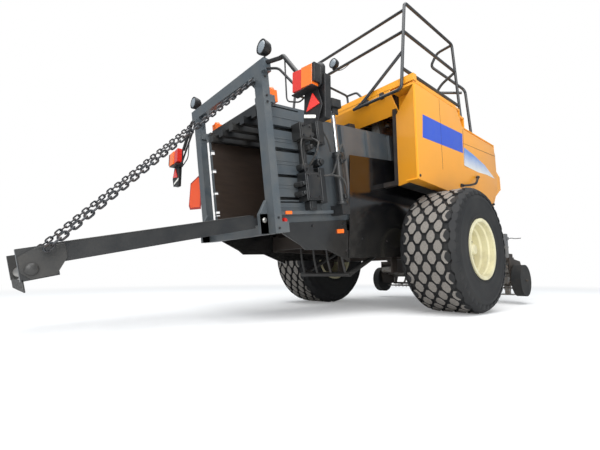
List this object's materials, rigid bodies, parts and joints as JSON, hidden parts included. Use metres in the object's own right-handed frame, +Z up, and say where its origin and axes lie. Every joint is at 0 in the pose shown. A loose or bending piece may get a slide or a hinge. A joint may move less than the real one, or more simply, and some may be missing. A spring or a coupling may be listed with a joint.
{
  "type": "large square baler",
  "caption": "Towed large square baler with a tilted bale chamber, lowered chute on chains, side doors, deck rails and a jack.",
  "frame": {"origin": "middle of the whole baler over the floor, half-way along its length and width", "axes": "+X the way it travels, towards the drawbar; +Y its left side; +Z up"},
  "size_m": [8.147, 2.55, 3.242],
  "materials": {
    "tyre_rubber": "matt, dusty",
    "cream_paint": "satin, worn",
    "black_paint": "satin, dusty",
    "dark_paint": "satin, dirty",
    "yellow_panel": "gloss",
    "gloss_black": "gloss",
    "worn_steel": "worn",
    "chrome_rod": "polished",
    "cast_housing": "painted, dusty",
    "red_lens": "gloss",
    "grey_plastic": "matt",
    "galvanised": "satin"
  },
  "bodies": {
    "baler_frame": {"axle": "dark_paint", "chamber_floor": "black_paint", "chamber_top_deck": "black_paint", "chamber_wall_left": "black_paint", "chamber_wall_right": "black_paint", "chassis_frame": "dark_paint", "cylinder_barrels": "black_paint", "drawbar": "dark_paint", "feeder_duct": "dark_paint", "front_hood": "yellow_panel", "gearbox_frame": "black_paint", "handrail_left": "black_paint", "handrail_rear": "black_paint", "handrail_right": "black_paint", "hitch_eye": "dark_paint", "jack_outer": "galvanised", "knotters": "worn_steel", "lamp_clusters": "red_lens", "main_gearbox": "cast_housing", "needle_yoke": "dark_paint", "rear_arch": "black_paint", "roof_deck": "yellow_panel", "shell_frame": "black_paint", "side_shield_left": "gloss_black", "side_shield_right": "gloss_black", "twine_boxes": "grey_plastic", "work_lamps": "black_paint"},
    "wheel_left": {"tyre_left": "tyre_rubber", "rim_left": "cream_paint"},
    "wheel_right": {"tyre_right": "tyre_rubber", "rim_right": "cream_paint"},
    "density_frame": {"density_door": "black_paint"},
    "density_rods": {"cylinder_rods": "chrome_rod"},
    "chute": {"chute_frame": "black_paint"},
    "chute_tail_roller": {"chute_roller": "worn_steel"},
    "chains_top": {"chain_upper": "worn_steel"},
    "chains_bottom": {"chain_lower": "worn_steel"},
    "left_side_door": {"side_door_left": "yellow_panel"},
    "right_side_door": {"side_door_right": "yellow_panel"},
    "jack_foot": {"jack_leg": "worn_steel"},
    "flywheel_and_drive": {"flywheel": "worn_steel", "pto_shaft": "grey_plastic"},
    "pickup": {"pickup_frame": "dark_paint"},
    "tine_reel": {"pickup_reel": "worn_steel"},
    "auger": {"pickup_auger": "worn_steel"},
    "left_gauge_wheel": {"gauge_wheel_left": "tyre_rubber"},
    "right_gauge_wheel": {"gauge_wheel_right": "tyre_rubber"}
  },
  "joints": [
    {"name": "left_wheel_spin", "type": "hinge", "parent": "baler_frame", "child": "wheel_left", "pos_m": [-0.54147, 0.9875, 0.6225], "axis": [0, 1, 0], "continuous": true},
    {"name": "right_wheel_spin", "type": "hinge", "parent": "baler_frame", "child": "wheel_right", "pos_m": [-0.54147, -0.9875, 0.6225], "axis": [0, 1, 0], "continuous": true},
    {"name": "density_frame_squeeze", "type": "hinge", "parent": "baler_frame", "child": "density_frame", "pos_m": [-1.12743, 0, 1.88105], "axis": [0, -1, 0], "range_deg": [0, 2]},
    {"name": "density_rod_stroke", "type": "slide", "parent": "baler_frame", "child": "density_rods", "axis": [0.1305, 0, -0.9914], "range_m": [0, 0.0289]},
    {"name": "chute_fold_up", "type": "hinge", "parent": "baler_frame", "child": "chute", "pos_m": [-2.61047, 0, 0.784], "axis": [0, 1, 0], "range_deg": [0, 93]},
    {"name": "chain_top_swing", "type": "hinge", "parent": "baler_frame", "child": "chains_top", "pos_m": [-2.73747, 0, 1.87], "axis": [0, -1, 0], "range_deg": [0, 42.04]},
    {"name": "chain_foot_swing", "type": "hinge", "parent": "chute", "child": "chains_bottom", "pos_m": [-3.95098, 0, 0.50018], "axis": [0, 1, 0], "range_deg": [0, 45.96]},
    {"name": "chute_roller_spin", "type": "hinge", "parent": "chute", "child": "chute_tail_roller", "pos_m": [-3.99782, 0, 0.39187], "axis": [0, 1, 0], "continuous": true},
    {"name": "left_side_door_lift", "type": "hinge", "parent": "baler_frame", "child": "left_side_door", "pos_m": [-0.54147, 0.965, 2.26], "axis": [1, 0, 0], "range_deg": [0, 80]},
    {"name": "right_side_door_lift", "type": "hinge", "parent": "baler_frame", "child": "right_side_door", "pos_m": [-0.54147, -0.965, 2.26], "axis": [-1, 0, 0], "range_deg": [0, 80]},
    {"name": "jack_raise", "type": "slide", "parent": "baler_frame", "child": "jack_foot", "axis": [0, 0, 1], "range_m": [0, 0.36]},
    {"name": "flywheel_spin", "type": "hinge", "parent": "baler_frame", "child": "flywheel_and_drive", "pos_m": [1.78853, 0, 1.33], "axis": [1, 0, 0], "continuous": true},
    {"name": "pickup_lower", "type": "hinge", "parent": "baler_frame", "child": "pickup", "pos_m": [0.83853, 0, 0.7], "axis": [0, 1, 0], "range_deg": [0, 12]},
    {"name": "tine_reel_spin", "type": "hinge", "parent": "pickup", "child": "tine_reel", "pos_m": [1.24853, 0, 0.385], "axis": [0, 1, 0], "continuous": true},
    {"name": "auger_spin", "type": "hinge", "parent": "pickup", "child": "auger", "pos_m": [0.95853, 0, 0.455], "axis": [0, 1, 0], "continuous": true},
    {"name": "left_gauge_wheel_spin", "type": "hinge", "parent": "pickup", "child": "left_gauge_wheel", "pos_m": [1.05853, 1.07, 0.3], "axis": [0, 1, 0], "continuous": true},
    {"name": "right_gauge_wheel_spin", "type": "hinge", "parent": "pickup", "child": "right_gauge_wheel", "pos_m": [1.05853, -1.07, 0.3], "axis": [0, 1, 0], "continuous": true}
  ],
  "couplings": [
    {"joint": "density_rod_stroke", "follows": "density_frame_squeeze", "m_per_rad": 0.77},
    {"joint": "chain_top_swing", "follows": "chute_fold_up", "ratio": 0.44664},
    {"joint": "chain_foot_swing", "follows": "chute_fold_up", "ratio": 0.48885}
  ]
}
